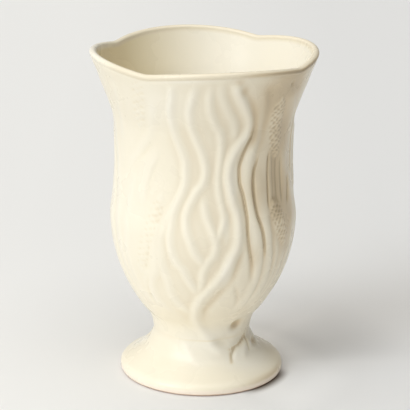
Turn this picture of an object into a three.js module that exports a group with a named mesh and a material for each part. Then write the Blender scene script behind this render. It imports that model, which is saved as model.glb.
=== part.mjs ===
// A glazed earthenware vase on a hollow pedestal foot, with a lobed rim and a
// relief of reeds and seed ears. Millimetres, +Z up, the origin under the foot.
// Angles are in degrees round the vase: 0 faces the viewer (-Y), 90 faces +X.

import * as THREE from 'three';

// Heights, from the table up; they add up to the height of the rim's lobes
const footRise = 26;
const bowlRise = 74;
const shoulderRise = 42;
const flareRise = 58;
const vaseHeight = footRise + bowlRise + shoulderRise + flareRise;

// Outer radii where the outline turns
const footRadius = 49.5;
const waistRadius = 29.2;
const bellyRadius = 55.6;
const neckRadius = 52.6;
const flareRadius = 67;

// Walls
const bowlWall = 3.5;
const bowlFloor = 4.6;
const floorCorner = 4;
const footWall = 4.8;
const contactWidth = 4.4;
const footBevel = 2.2;
const footUndercut = 2.2;

// The slip seam at the waist
const seamLift = 1;
const seamThickness = 1.2;

// The rim: four lobes with a dip between them, and a rolled lip
const rimDip = 4.7;
const rimPinch = 2.2;
const pinchReach = 30;
const lipWidth = 4.1;
const lipDepth = 3.6;
const lipHeight = 4;
const lipInset = 0.45;
const lipSwell = 0.8;
const swellReach = 9;
const lipThinning = 0.5;
const thinningReach = 12;
const dipAngle = 58.7;
const lobeCount = 4;
const dipShapeShare = 0.74;
const pinchShapeShare = 0.45;
const dipRoundingShare = 0.1;

// The relief's sizes
const strandRise = 0.8;
const strandWidth = 4.3;
const bandRise = 1.35;
const bandWidth = 5;
const bladeRise = 0.75;
const bladeWidth = 5.6;
const grooveDepth = 0.9;
const grooveWidth = 2;
const shadeDepth = 0.7;
const shadeWidth = 5;
const ribDepth = 0.8;
const ribWidth = 2.6;
const rootRise = 1.6;
const rootWidth = 5.6;
const gougeDepth = 0.9;
const gougeWidth = 4;
const earRise = 0.7;
const earWidth = 7.5;
const dimpleDepth = 2.5;
const reliefFade = 5;
const endFade = 12;
const rootFade = 5;

// The relief comes twice round the vase, once on each half of the mould
const reliefRepeat = 180;
// How sharply lines that meet keep to the higher one
const mergePower = 3;
// How much narrower than a hump a crest and a swell are
const crestSharpness = 6;
const swellSharpness = 2;

// Faces
const outerColumns = 144;
const innerColumns = 48;
const bowlRows = 27;
const snapShare = 0.4;

// Outline points. First the share of the stretch's height, then the share of
// the way from the smaller radius of the stretch to its larger one.
const footOutlineShares = [
  [0, 0.985], [0.085, 1], [0.17, 0.992], [0.25, 0.92], [0.345, 0.73], [0.425, 0.565],
  [0.615, 0.256], [0.81, 0.1],
];
const bowlOutlineShares = [
  [0, 0], [0.068, 0.025], [0.149, 0.1], [0.243, 0.302], [0.365, 0.518], [0.5, 0.707],
  [0.662, 0.868], [0.838, 0.968],
];
const shoulderOutlineShares = [[0, 1], [0.286, 0.55], [0.571, 0.24], [0.857, 0.01]];
const flareOutlineShares = [
  [0, 0], [0.103, 0.004], [0.31, 0.073], [0.517, 0.325], [0.724, 0.649], [1, 1],
];

// Relief lines. First the shares of the rise and of the width to the left and
// to the right, then the path as angles and shares of the vase's height.
const strandShares = [
  [1, 1, 1.2, [[-16, 0.985], [-17, 0.925], [-19, 0.87], [-18.5, 0.835], [-17, 0.8], [-13, 0.75],
    [-11, 0.715], [-11, 0.67], [-12.5, 0.64], [-17, 0.59], [-19, 0.55], [-20, 0.5], [-19, 0.46],
    [-16, 0.425], [-12, 0.4], [-9, 0.37], [-6, 0.345], [-3.5, 0.32], [-2.5, 0.295]]],
  [0.75, 1.2, 1.2, [[-13, 0.63], [-18, 0.59], [-23, 0.535], [-26, 0.48], [-26, 0.43],
    [-24.5, 0.385], [-22.5, 0.35], [-22, 0.32], [-20, 0.295], [-16, 0.27], [-11, 0.25],
    [-8, 0.23], [-6.5, 0.21]]],
  [1, 1, 1.2, [[-3.5, 0.98], [-6, 0.92], [-8, 0.87], [-7.5, 0.835], [-6, 0.81], [-4, 0.785],
    [-0.5, 0.745], [1.5, 0.7], [0, 0.665], [-3, 0.645], [-6, 0.62], [-9, 0.59], [-10.5, 0.56],
    [-10, 0.535], [-7, 0.485], [-5, 0.46], [-2.5, 0.44], [0, 0.42], [1.2, 0.395]]],
  [0.8, 1, 1.1, [[4, 0.98], [3, 0.915], [3.5, 0.885], [5, 0.86], [7, 0.835], [10, 0.81],
    [11, 0.775], [10.5, 0.73], [9.5, 0.675], [10, 0.64], [12, 0.59], [13, 0.565], [12.5, 0.54],
    [10, 0.51], [8, 0.485]]],
  [0.8, 1.1, 1.1, [[0.5, 0.64], [1, 0.6], [2.5, 0.565], [4.5, 0.54], [6.5, 0.515], [8.3, 0.48],
    [7, 0.45], [4, 0.43], [2, 0.41], [0.5, 0.39], [0, 0.36], [-1, 0.335], [-1.5, 0.31],
    [-3, 0.29]]],
  [0.6, 1.2, 1.2, [[8, 0.992], [9, 0.935], [11, 0.905], [14, 0.875], [17, 0.85], [19, 0.82],
    [19.5, 0.785], [18, 0.76]]],
  [0.7, 1, 1, [[17, 0.6], [15.5, 0.58], [13.5, 0.56], [12.5, 0.54], [10.5, 0.515], [8.5, 0.49],
    [7.5, 0.46]]],
  [0.4, 1.4, 1.2, [[-28, 0.92], [-29, 0.88], [-31, 0.84], [-34, 0.8], [-40, 0.76], [-45, 0.73],
    [-51, 0.7], [-56, 0.66]]],
  [0.5, 1.4, 1, [[44, 0.9], [45, 0.86], [46, 0.82], [47, 0.77], [48, 0.72]]],
  [0.7, 0.6, 0.6, [[68, 0.66], [71, 0.63], [74, 0.58], [76, 0.54]]],
  [0.7, 1, 1, [[44.5, 0.555], [47, 0.535], [50, 0.515], [54, 0.485], [58, 0.465], [61, 0.455]]],
  [0.6, 1, 1, [[73, 0.55], [71, 0.52], [68, 0.495], [65, 0.475], [61.5, 0.46]]],
  [0.7, 1, 0.8, [[64, 0.66], [67, 0.63], [70, 0.61], [73, 0.58], [76, 0.55], [81, 0.53]]],
  [0.5, 1.3, 1.3, [[49, 0.5], [51, 0.45], [53, 0.4], [53, 0.34], [50, 0.3], [45, 0.26],
    [38, 0.225]]],
  [0.5, 1.3, 1.3, [[58, 0.46], [60, 0.41], [59.5, 0.35], [56, 0.3], [51, 0.26], [44, 0.225]]],
  [0.5, 1.3, 1.3, [[71, 0.52], [71, 0.45], [70, 0.38], [67, 0.33], [61, 0.28], [54, 0.24]]],
  [0.45, 1.3, 1.3, [[-52, 0.96], [-54, 0.91], [-58, 0.85], [-60, 0.79], [-61, 0.74]]],
  [0.45, 1.3, 1.3, [[-66, 0.96], [-68, 0.9], [-72, 0.84], [-73, 0.77], [-70, 0.7],
    [-66, 0.62], [-64, 0.54], [-62, 0.46], [-60, 0.4], [-56, 0.34], [-50, 0.29], [-42, 0.24]]],
  [0.45, 1.2, 1.2, [[-48, 0.68], [-50, 0.62], [-53, 0.56], [-52, 0.5], [-54, 0.44], [-53, 0.38],
    [-49, 0.32], [-43, 0.27], [-35, 0.225]]],
  [0.5, 1.3, 1.3, [[80, 0.6], [83, 0.53], [84, 0.46], [83, 0.39], [79, 0.33], [72, 0.28],
    [64, 0.24]]],
];
const bandShares = [
  [1, 1.25, 1.2, [[16, 1], [17, 0.95], [19, 0.925], [21.7, 0.9], [24.5, 0.875],
    [26.8, 0.85], [28, 0.825], [27.3, 0.805], [24.5, 0.785], [20.8, 0.76], [18, 0.735], [16.2, 0.71],
    [15.7, 0.68], [16.8, 0.645], [18, 0.615], [19.8, 0.59], [21.3, 0.57], [22, 0.54],
    [22, 0.5], [21, 0.47], [18.5, 0.44], [15.5, 0.405], [12.5, 0.38], [8, 0.35], [3.5, 0.325],
    [0, 0.305], [-2.8, 0.28], [-5, 0.255], [-5.6, 0.23], [-4.9, 0.21], [-2.6, 0.19], [2, 0.165],
    [5, 0.14]]],
];
const bladeShares = [
  [0.5, 1.2, 1.2, [[28, 0.955], [33, 0.9], [35, 0.85], [34, 0.8], [31, 0.75], [29, 0.72]]],
  [1, 1, 0.7, [[35, 0.815], [34.5, 0.79], [32, 0.75], [29.5, 0.71],
    [29, 0.675], [29.5, 0.64], [31, 0.59], [33, 0.54], [35.5, 0.49], [37, 0.45], [38, 0.4],
    [38, 0.36], [37, 0.31], [33, 0.26], [27, 0.22]]],
  [1.1, 1, 1.15, [[37, 0.7], [36.8, 0.64], [38, 0.6], [40, 0.56], [42, 0.525], [43.5, 0.49],
    [45, 0.45], [46.5, 0.41], [47, 0.37], [46, 0.33], [42, 0.28], [35, 0.235]]],
  [0.9, 1.1, 1.1, [[62, 0.76], [62.5, 0.7], [62.5, 0.64], [63.5, 0.58]]],
  [0.7, 1.6, 0.6, [[-28, 0.765], [-31, 0.735], [-34.5, 0.7], [-37, 0.67], [-39, 0.64],
    [-39.5, 0.61], [-38.5, 0.57]]],
  [0.7, 2, 0.6, [[53, 0.945], [60, 0.89], [65, 0.85], [70, 0.82], [76, 0.795], [85, 0.77],
    [93, 0.745], [99, 0.705], [103, 0.655], [105, 0.6], [106, 0.54], [108, 0.48], [110, 0.425],
    [113, 0.37], [118, 0.32], [124, 0.275], [131, 0.235]]],
  [0.9, 1.3, 0.9, [[-24, 0.57], [-28.5, 0.53], [-29.5, 0.48], [-29, 0.44], [-30, 0.395],
    [-35, 0.36], [-37, 0.33], [-36.5, 0.3], [-33, 0.26], [-27, 0.225]]],
];
const grooveShares = [
  [1.1, 0.8, 0.9, [[31, 0.83], [30, 0.795], [27.3, 0.765],
    [24.6, 0.735], [22.7, 0.7], [23, 0.665], [25.2, 0.625], [26.8, 0.585],
    [27.8, 0.55], [27.8, 0.515], [28.3, 0.49], [29.3, 0.465], [31, 0.43], [33, 0.39]]],
  [1.1, 0.8, 0.9, [[37, 0.745], [35, 0.715], [33, 0.685], [32.5, 0.65],
    [33, 0.61], [35, 0.56], [37.5, 0.525], [39.5, 0.485], [40.7, 0.45], [41.3, 0.41]]],
];
const shadeShares = [
  [0.6, 0.8, 1, [[16, 0.98], [19, 0.95], [23, 0.92], [27, 0.885], [30, 0.85], [31, 0.82],
    [30, 0.79], [27, 0.76], [24, 0.73], [22.5, 0.7]]],
  [0.8, 0.8, 1, [[26.5, 0.475], [24, 0.44], [22.5, 0.41], [21, 0.38], [17, 0.345], [11, 0.31],
    [6, 0.28], [3, 0.255], [3, 0.235], [4, 0.215]]],
  [0.9, 0.7, 0.8, [[27.8, 0.515], [28.2, 0.49], [29.3, 0.465], [31, 0.43], [33, 0.39],
    [34.8, 0.355], [36, 0.325]]],
  [0.6, 1, 1.1, [[34.5, 0.975], [36, 0.93], [38.5, 0.88], [39, 0.84], [38.8, 0.79],
    [37, 0.745], [35, 0.715]]],
  [0.7, 0.8, 0.8, [[45, 0.57], [45.5, 0.535], [46.5, 0.5], [48, 0.46], [49.5, 0.425],
    [50.5, 0.38], [49, 0.33]]],
  [0.5, 0.6, 0.6, [[20, 0.375], [22, 0.345], [24.5, 0.325], [26.5, 0.3], [27.5, 0.275],
    [28, 0.25]]],
  [0.35, 0.7, 0.7, [[-25.5, 0.92], [-26, 0.88], [-27, 0.84]]],
  [0.35, 0.6, 0.6, [[-32, 0.79], [-36, 0.755], [-40, 0.735], [-46, 0.71], [-52, 0.68]]],
  [0.7, 0.6, 0.6, [[-33, 0.39], [-38, 0.35], [-40.5, 0.315], [-41, 0.28], [-38, 0.24]]],
  [0.5, 0.6, 0.6, [[-57, 0.6], [-54, 0.55], [-50, 0.51], [-48.5, 0.48]]],
  [1.6, 0.6, 0.5, [[75, 0.85], [75, 0.79], [76, 0.73], [75.5, 0.68], [76, 0.62]]],
  [1.3, 1.7, 1.9, [[51, 0.775], [51, 0.73], [51.5, 0.66], [52, 0.6], [53, 0.54]]],
];
const ribShares = [
  [1.3, 0.9, 0.7, [[46, 0.745], [45.2, 0.7], [45, 0.65], [45, 0.6], [45.2, 0.565]]],
  [0.9, 0.8, 0.8, [[49.5, 0.74], [50, 0.65], [49.5, 0.57]]],
  [1, 0.8, 0.8, [[53.5, 0.735], [53.3, 0.65], [54, 0.57]]],
  [0.9, 0.8, 0.8, [[58, 0.72], [58, 0.65], [59, 0.565]]],
  [1.3, 1, 0.8, [[66, 0.655], [67.5, 0.62], [67, 0.59], [65, 0.555]]],
];
const rootShares = [
  [0.4, 1, 1, [[-30, 0.15], [-20, 0.125], [-12, 0.1], [-5, 0.08], [0, 0.065]]],
  [0.5, 1.2, 1.2, [[-4, 0.2], [0, 0.175], [6, 0.15], [12, 0.13], [18, 0.112], [23, 0.09]]],
  [0.45, 0.5, 0.7, [[82, 0.795], [84, 0.76], [84.5, 0.7], [83, 0.64], [81, 0.58]]],
  [0.5, 0.7, 0.9, [[63, 0.145], [61, 0.122], [56, 0.105], [50, 0.085], [45, 0.065]]],
  [0.5, 0.7, 0.9, [[61, 0.128], [64, 0.108], [69, 0.092], [77, 0.075], [84, 0.06]]],
];
const gougeShares = [
  [1, 0.8, 0.9, [[66, 0.145], [62, 0.128], [54, 0.114], [41.5, 0.102], [35, 0.087], [31.5, 0.066]]],
  [0.8, 0.5, 0.5, [[68, 0.15], [63, 0.125], [62.5, 0.106], [61, 0.08]]],
];

// Seed ears: the shares of the rise and of the width, then the upper and the
// lower end as an angle and a share of the vase's height.
const earShares = [
  [1, 1, [46.5, 0.905], [53.5, 0.715]],
  [1, 1, [49, 0.59], [61, 0.445]],
  [0.5, 0.8, [-35, 0.965], [-42, 0.81]],
  [0.38, 0.8, [-26, 0.625], [-43, 0.37]],
];

// Dimples that a thumb or a tool pressed into the roots: the share of the
// depth, the angle, the share of the vase's height, and the half width and half
// height as shares of the waist's radius.
const dimpleShares = [
  [0.7, 41.5, 0.18, 0.24, 0.21],
  [0.28, 23, 0.128, 0.24, 0.2],
  [0.2, 30, 0.14, 0.24, 0.14],
  [0.5, 78, 0.095, 0.34, 0.11],
  [0.3, 53, 0.94, 0.06, 0.06],
];

const rad = THREE.MathUtils.degToRad;
const mix = THREE.MathUtils.lerp;

// A smooth step from 0 to 1, for a value that runs from 0 to 1
const ease = (value) => THREE.MathUtils.smoothstep(value, 0, 1);

// A soft hump that is 1 at zero and 0 from 1 on
function hump(value) {
  const rest = Math.max(0, 1 - value * value);
  return rest * rest;
}

// A narrow crest on wide flanks, and one that is broader
const crest = (value) => hump(value) / (1 + crestSharpness * value * value);
const swell = (value) => hump(value) / (1 + swellSharpness * value * value);

// Value and slope at x of a smooth curve through points sorted by rising x
function through(points, x) {
  const last = points.length - 1;
  const at = THREE.MathUtils.clamp(x, points[0][0], points[last][0]);
  let k = 0;
  while (k < last - 1 && at > points[k + 1][0]) k += 1;
  const secant = (i) => (points[i + 1][1] - points[i][1]) / (points[i + 1][0] - points[i][0]);
  const tangent = (i) => {
    if (i === 0) return secant(0);
    if (i === last) return secant(last - 1);
    const before = secant(i - 1);
    const after = secant(i);
    return before * after > 0 ? 2 * before * after / (before + after) : 0;
  };
  const span = points[k + 1][0] - points[k][0];
  const t = (at - points[k][0]) / span;
  const t2 = t * t;
  const t3 = t2 * t;
  const m0 = tangent(k) * span;
  const m1 = tangent(k + 1) * span;
  const value = (2 * t3 - 3 * t2 + 1) * points[k][1] + (t3 - 2 * t2 + t) * m0
    + (3 * t2 - 2 * t3) * points[k + 1][1] + (t3 - t2) * m1;
  const slope = ((6 * t2 - 6 * t) * (points[k][1] - points[k + 1][1])
    + (3 * t2 - 4 * t + 1) * m0 + (3 * t2 - 2 * t) * m1) / span;
  return { value, slope };
}

// The outline without its relief, as heights and radii
function stretch(shares, from, rise, smaller, larger) {
  return shares.map(([h, r]) => [from + rise * h, mix(smaller, larger, r)]);
}
const bellyHeight = footRise + bowlRise;
const neckHeight = bellyHeight + shoulderRise;
const outline = [
  ...stretch(footOutlineShares, 0, footRise, waistRadius, footRadius),
  ...stretch(bowlOutlineShares, footRise, bowlRise, waistRadius, bellyRadius),
  ...stretch(shoulderOutlineShares, bellyHeight, shoulderRise, neckRadius, bellyRadius),
  ...stretch(flareOutlineShares, neckHeight, flareRise, neckRadius, flareRadius),
];
const radiusAt = (z) => through(outline, z).value;

// The rim between its lobes: 1 on the middle of a lobe, near 0 in a dip
function lobe(angle) {
  const wave = Math.sin(rad((angle - dipAngle) * lobeCount / 2));
  return Math.hypot(wave, dipRoundingShare) / Math.hypot(1, dipRoundingShare);
}
const rimTop = (angle) => vaseHeight - rimDip * (1 - lobe(angle) ** dipShapeShare);
const lipBase = (angle) => rimTop(angle) - lipHeight;
function pinchAt(angle, z) {
  const near = ease(1 - (vaseHeight - z) / pinchReach);
  return rimPinch * near * (1 - lobe(angle) ** pinchShapeShare);
}

// A relief line as its shares and its path by rising height
function reliefLine([riseShare, leftShare, rightShare, pathShares], rise, width, section, fade) {
  const path = pathShares.map(([angle, h]) => [h * vaseHeight, angle]).reverse();
  return {
    path,
    section,
    fade,
    rise: rise * riseShare,
    left: width * leftShare,
    right: width * rightShare,
    low: path[0][0],
    high: path[path.length - 1][0],
  };
}
const linesOf = (shares, ...sizes) => shares.map((line) => reliefLine(line, ...sizes));
const ridges = [
  ...linesOf(strandShares, strandRise, strandWidth, swell, endFade),
  ...linesOf(bandShares, bandRise, bandWidth, swell, endFade),
  ...linesOf(bladeShares, bladeRise, bladeWidth, hump, endFade),
  ...linesOf(rootShares, rootRise, rootWidth, swell, rootFade),
];
const grooves = [
  ...linesOf(grooveShares, grooveDepth, grooveWidth, crest, endFade),
  ...linesOf(shadeShares, shadeDepth, shadeWidth, swell, endFade),
  ...linesOf(ribShares, ribDepth, ribWidth, crest, rootFade),
  ...linesOf(gougeShares, gougeDepth, gougeWidth, crest, rootFade),
];

// The angle from one direction to another, within half a repeat of the relief
function turn(from, to) {
  const half = reliefRepeat / 2;
  return THREE.MathUtils.euclideanModulo(to - from + half, reliefRepeat) - half;
}

// How strong a line is at a place on the wall
function lineAt(line, angle, z, radius) {
  if (z <= line.low || z >= line.high) return 0;
  const centre = through(line.path, z);
  const lean = Math.hypot(1, rad(centre.slope) * radius);
  const side = rad(turn(centre.value, angle)) * radius / lean;
  const across = side / (side < 0 ? line.left : line.right);
  const ends = ease((z - line.low) / line.fade) * ease((line.high - z) / line.fade);
  return line.rise * line.section(across) * ends;
}

// An ear is a low spindle
function earAt([riseShare, widthShare, upper, lower], angle, z, radius) {
  const dx = rad(turn(lower[0], upper[0])) * radius;
  const dz = (upper[1] - lower[1]) * vaseHeight;
  const length = Math.hypot(dx, dz);
  const px = rad(turn(lower[0], angle)) * radius;
  const pz = z - lower[1] * vaseHeight;
  const along = (px * dx + pz * dz) / length;
  const across = (px * dz - pz * dx) / length;
  const middle = 2 * along / length - 1;
  const wide = earWidth * widthShare * Math.sqrt(Math.max(0, 1 - middle ** 4));
  if (wide === 0) return 0;
  return earRise * riseShare * hump(across / wide);
}

function dimpleAt([depthShare, angle, heightShare, wideShare, highShare], at, z, radius) {
  const across = rad(turn(angle, at)) * radius / (wideShare * waistRadius);
  const up = (z - heightShare * vaseHeight) / (highShare * waistRadius);
  return dimpleDepth * depthShare * hump(Math.hypot(across, up));
}

// Lines that meet run into each other: the highest one wins, smoothly
function merged(values) {
  const sum = values.reduce((total, value) => total + value ** mergePower, 0);
  return sum ** (1 / mergePower);
}

// The relief's height over the plain outline
function relief(angle, z) {
  const radius = radiusAt(z);
  const up = merged([
    ...ridges.map((line) => lineAt(line, angle, z, radius)),
    ...earShares.map((ear) => earAt(ear, angle, z, radius)),
  ]);
  const down = merged([
    ...grooves.map((line) => lineAt(line, angle, z, radius)),
    ...dimpleShares.map((dimple) => dimpleAt(dimple, angle, z, radius)),
  ]);
  return (up - down) * ease((lipBase(angle) - z) / reliefFade);
}

// The outside's radius without its relief, swelling a little towards the lip
function plainRadius(angle, z) {
  const near = ease(1 - (lipBase(angle) - z) / swellReach);
  return radiusAt(z) - pinchAt(angle, z) + lipSwell * near;
}

// A place on the outside, with its relief
const outside = (angle, z) => place(angle, plainRadius(angle, z) + relief(angle, z), z);

function place(angle, radius, z) {
  const a = rad(angle);
  return new THREE.Vector3(radius * Math.sin(a), -radius * Math.cos(a), z);
}

// The column's angle, drawn to a relief line that runs close by
const columnStep = 360 / outerColumns;
function snapped(angle, z) {
  const near = [...ridges, ...grooves]
    .filter((line) => z > line.low && z < line.high)
    .map((line) => turn(angle, through(line.path, z).value))
    .filter((offset) => Math.abs(offset) < columnStep * snapShare);
  if (near.length === 0) return angle;
  return angle + near.reduce((best, offset) => (Math.abs(offset) < Math.abs(best) ? offset : best));
}

const anglesOf = (columns) => Array.from({ length: columns }, (_, i) => dipAngle + i * 360 / columns);
const outerAngles = anglesOf(outerColumns);
const innerAngles = anglesOf(innerColumns);

// A ring of the outside at one share of the way between two heights
function outerRing(share, low, high) {
  return outerAngles.map((angle) => {
    const z = mix(low, high(angle), share);
    return outside(snapped(angle, z), z);
  });
}

// The radius of an inner face that keeps its wall square to the outline
function insideRadius(z, wall) {
  const outer = through(outline, z);
  return outer.value - wall * Math.hypot(1, outer.slope);
}

// The bowl's inner face, whose wall thins a little under the lip
function bowlInside(angle, z) {
  const near = ease(1 - (lipBase(angle) - z) / thinningReach);
  return insideRadius(z, bowlWall) - pinchAt(angle, z) + lipThinning * near;
}

const span = (one, other) => one.distanceTo(other);

// How far a point between two corners lies from the true outside
function miss(one, other) {
  const middle = one.clone().lerp(other, 0.5);
  const angle = THREE.MathUtils.radToDeg(Math.atan2(middle.x, -middle.y));
  return middle.distanceTo(outside(angle, middle.z));
}

// Joins rings of points into one closed skin. Each ring runs the same way
// round, and the skin's outside is on the right going from ring to ring.
// The first rings of the outside, up to reliefEnd, carry the relief.
function skin(rings, closed, reliefEnd) {
  const positions = [];
  const starts = [];
  rings.forEach((ring) => {
    starts.push(positions.length / 3);
    ring.forEach((point) => positions.push(point.x, point.y, point.z));
  });
  const faces = [];
  const pairs = closed ? rings.length : rings.length - 1;
  for (let k = 0; k < pairs; k += 1) {
    const next = (k + 1) % rings.length;
    const split = k > 0 && k < reliefEnd ? miss : span;
    weave(rings[k], starts[k], rings[next], starts[next], split, faces);
  }
  const geometry = new THREE.BufferGeometry();
  geometry.setAttribute('position', new THREE.Float32BufferAttribute(positions, 3));
  geometry.setIndex(faces);
  geometry.computeVertexNormals();
  return geometry;
}

// The faces between two rings, which may have different counts of points
function weave(lower, lowerStart, upper, upperStart, split, faces) {
  const n = lower.length;
  const m = upper.length;
  let i = 0;
  let j = 0;
  while (i < n || j < m) {
    const a = lowerStart + i % n;
    const b = lowerStart + (i + 1) % n;
    const c = upperStart + (j + 1) % m;
    const d = upperStart + j % m;
    if (n === m) {
      const across = split(lower[i], upper[(j + 1) % m]);
      const back = split(lower[(i + 1) % n], upper[j]);
      if (across <= back) faces.push(a, b, c, a, c, d);
      else faces.push(a, b, d, b, c, d);
      i += 1;
      j += 1;
    } else if (m === 1 || (n > 1 && i < n && (i + 1) / n <= (j + 1) / m)) {
      faces.push(a, b, d);
      i += 1;
      if (m === 1 && i === n) j = m;
    } else {
      faces.push(a, c, d);
      j += 1;
      if (n === 1 && j === m) i = n;
    }
  }
}

function mesh(name, geometry, color, roughness) {
  const material = new THREE.MeshStandardMaterial({ color, roughness, metalness: 0 });
  const part = new THREE.Mesh(geometry, material);
  part.name = name;
  return part;
}

// Where the pieces meet
const footTop = footRise + seamLift;
const bowlBottom = footTop + seamThickness;
const bowlFloorTop = bowlBottom + bowlFloor;

// The bowl: under its floor, up the outside, over the lip and down the inside
function bowl() {
  const rings = [[new THREE.Vector3(0, 0, bowlBottom)]];
  for (let row = 0; row <= bowlRows; row += 1) {
    rings.push(outerRing(row / bowlRows, bowlBottom, lipBase));
  }
  for (const around of [-50, 0, 50, 100, 150]) {
    rings.push(outerAngles.map((angle) => {
      const base = lipBase(angle);
      const centre = radiusAt(base) - pinchAt(angle, base) - lipInset;
      const radius = centre + lipWidth / 2 * Math.cos(rad(around));
      const z = rimTop(angle) - lipDepth / 2 * (1 - Math.sin(rad(around)));
      return place(angle, radius, z);
    }));
  }
  const innerRowShares = [1, 0.95, 0.88, 0.78, 0.65, 0.5, 0.35, 0.22, 0.12, 0.05, 0];
  for (const share of innerRowShares) {
    rings.push(innerAngles.map((angle) => {
      const z = mix(bowlFloorTop + floorCorner, lipBase(angle), share);
      return place(angle, bowlInside(angle, z), z);
    }));
  }
  const floorRadius = insideRadius(bowlFloorTop + floorCorner, bowlWall) - floorCorner;
  rings.push(innerAngles.map((angle) => place(angle, floorRadius, bowlFloorTop)));
  rings.push([new THREE.Vector3(0, 0, bowlFloorTop)]);
  return skin(rings, false, bowlRows + 1);
}

// The foot: from its contact ring up the outside, over its top and down inside
function pedestalFoot() {
  const outerRowShares = [0.16, 0.25, 0.33, 0.42, 0.52, 0.65, 0.8, 1];
  const innerRowShares = [1, 0.8, 0.62, 0.48, 0.38, 0.28, 0.16];
  const flat = () => footTop;
  const rings = [0, 45, 90].map((around) => outerAngles.map((angle) => {
    const radius = footRadius - footUndercut * (1 - Math.sin(rad(around)));
    return place(angle, radius, footBevel * (1 - Math.cos(rad(around))));
  }));
  for (const share of outerRowShares) rings.push(outerRing(share, 0, flat));
  for (const share of innerRowShares) {
    const z = footTop * share;
    rings.push(innerAngles.map((angle) => place(angle, insideRadius(z, footWall), z)));
  }
  const contactInside = footRadius - footUndercut - contactWidth;
  rings.push(innerAngles.map((angle) => place(angle, contactInside, 0)));
  return skin(rings, true, outerRowShares.length + 2);
}

// The slip seam: a flat ring between the two, flush with the outside
function slipSeam() {
  const seamAngles = outerAngles.filter((_, i) => i % 2 === 0);
  const edge = (z) => seamAngles.map((angle) => outside(snapped(angle, z), z));
  const boreRadius = insideRadius(footTop, footWall);
  const bore = (z) => innerAngles.map((angle) => place(angle, boreRadius, z));
  return skin([edge(footTop), edge(bowlBottom), bore(bowlBottom), bore(footTop)], true, 0);
}

const vase = new THREE.Group();
vase.add(mesh('bowl', bowl(), 0xf2e8d0, 0.38));
vase.add(mesh('slip_seam', slipSeam(), 0xe9dcc0, 0.5));
vase.add(mesh('pedestal_foot', pedestalFoot(), 0xf2e8d0, 0.38));

export default vase;
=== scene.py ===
"""The looks of a glazed earthenware vase: a flaring bowl with a lobed rim and a relief
of reeds and seed ears, on a hollow spreading foot. Metres, in the frame of the solids.
Angles are in degrees round the vase: 0 faces -Y and 90 faces +X."""

from math import cos, pi, radians, sin

import bmesh
import bpy
import numpy as np
from mathutils import Matrix, Vector, noise


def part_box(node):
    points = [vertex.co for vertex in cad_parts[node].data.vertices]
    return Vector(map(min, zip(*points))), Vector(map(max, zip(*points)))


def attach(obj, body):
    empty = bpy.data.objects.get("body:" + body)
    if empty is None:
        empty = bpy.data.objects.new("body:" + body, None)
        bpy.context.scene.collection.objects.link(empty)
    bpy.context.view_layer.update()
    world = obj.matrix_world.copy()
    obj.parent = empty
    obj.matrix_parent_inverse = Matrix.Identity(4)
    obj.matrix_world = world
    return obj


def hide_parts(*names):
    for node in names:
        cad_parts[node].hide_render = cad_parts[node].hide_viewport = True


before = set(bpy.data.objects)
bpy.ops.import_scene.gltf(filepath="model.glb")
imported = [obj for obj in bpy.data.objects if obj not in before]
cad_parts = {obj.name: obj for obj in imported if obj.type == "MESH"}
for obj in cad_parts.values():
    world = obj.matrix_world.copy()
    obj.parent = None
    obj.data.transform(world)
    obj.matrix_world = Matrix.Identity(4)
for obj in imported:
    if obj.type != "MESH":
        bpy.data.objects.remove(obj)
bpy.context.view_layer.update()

MM = 0.001

# Sizes of the solids that the skins repeat, in metres
VASE_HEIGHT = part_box("bowl")[1].z
FOOT_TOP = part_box("pedestal_foot")[1].z
BOWL_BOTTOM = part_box("bowl")[0].z
FOOT_RISE = 26 * MM
BOWL_RISE = 74 * MM
SHOULDER_RISE = 42 * MM
FLARE_RISE = VASE_HEIGHT - FOOT_RISE - BOWL_RISE - SHOULDER_RISE
FOOT_RADIUS = 49.5 * MM
WAIST_RADIUS = 29.2 * MM
BELLY_RADIUS = 55.6 * MM
NECK_RADIUS = 52.6 * MM
FLARE_RADIUS = 67 * MM
BOWL_WALL = 3.5 * MM
BOWL_FLOOR = 4.6 * MM
FLOOR_CORNER = 4 * MM
FOOT_WALL = 4.8 * MM
CONTACT_WIDTH = 4.4 * MM
FOOT_BEVEL = 2.2 * MM
FOOT_UNDERCUT = 2.2 * MM

# The rim
RIM_DIP = 4.7 * MM
RIM_PINCH = 2.2 * MM
PINCH_REACH = 30 * MM
LIP_WIDTH = 4.1 * MM
LIP_DEPTH = 3.6 * MM
LIP_HEIGHT = 4 * MM
LIP_INSET = 0.45 * MM
LIP_SWELL = 0.8 * MM
SWELL_REACH = 9 * MM
LIP_THINNING = 0.5 * MM
THINNING_REACH = 12 * MM
DIP_ANGLE = 58.7
LOBE_COUNT = 4
DIP_SHAPE_SHARE = 0.74
PINCH_SHAPE_SHARE = 0.45
DIP_ROUNDING_SHARE = 0.1

# The relief
STRAND_RISE = 0.8 * MM
STRAND_WIDTH = 4.3 * MM
BAND_RISE = 1.35 * MM
BAND_WIDTH = 5 * MM
BLADE_RISE = 0.75 * MM
BLADE_WIDTH = 5.6 * MM
GROOVE_DEPTH = 0.9 * MM
GROOVE_WIDTH = 2 * MM
SHADE_DEPTH = 0.7 * MM
SHADE_WIDTH = 5 * MM
RIB_DEPTH = 0.8 * MM
RIB_WIDTH = 2.6 * MM
ROOT_RISE = 1.6 * MM
ROOT_WIDTH = 5.6 * MM
GOUGE_DEPTH = 0.9 * MM
GOUGE_WIDTH = 4 * MM
EAR_RISE = 0.7 * MM
EAR_WIDTH = 7.5 * MM
GRAIN_DEPTH = 0.3 * MM
GRAIN_PITCH = 1.75 * MM
GRAIN_SPREAD_SHARE = 1.5
GRAIN_STIR_SHARE = 0.8
GRAIN_STIR_PITCH = 4 * MM
PIT_SPREAD_SHARE = 0.5
DIMPLE_DEPTH = 2.5 * MM
RELIEF_FADE = 5 * MM
END_FADE = 12 * MM
ROOT_FADE = 5 * MM
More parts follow.
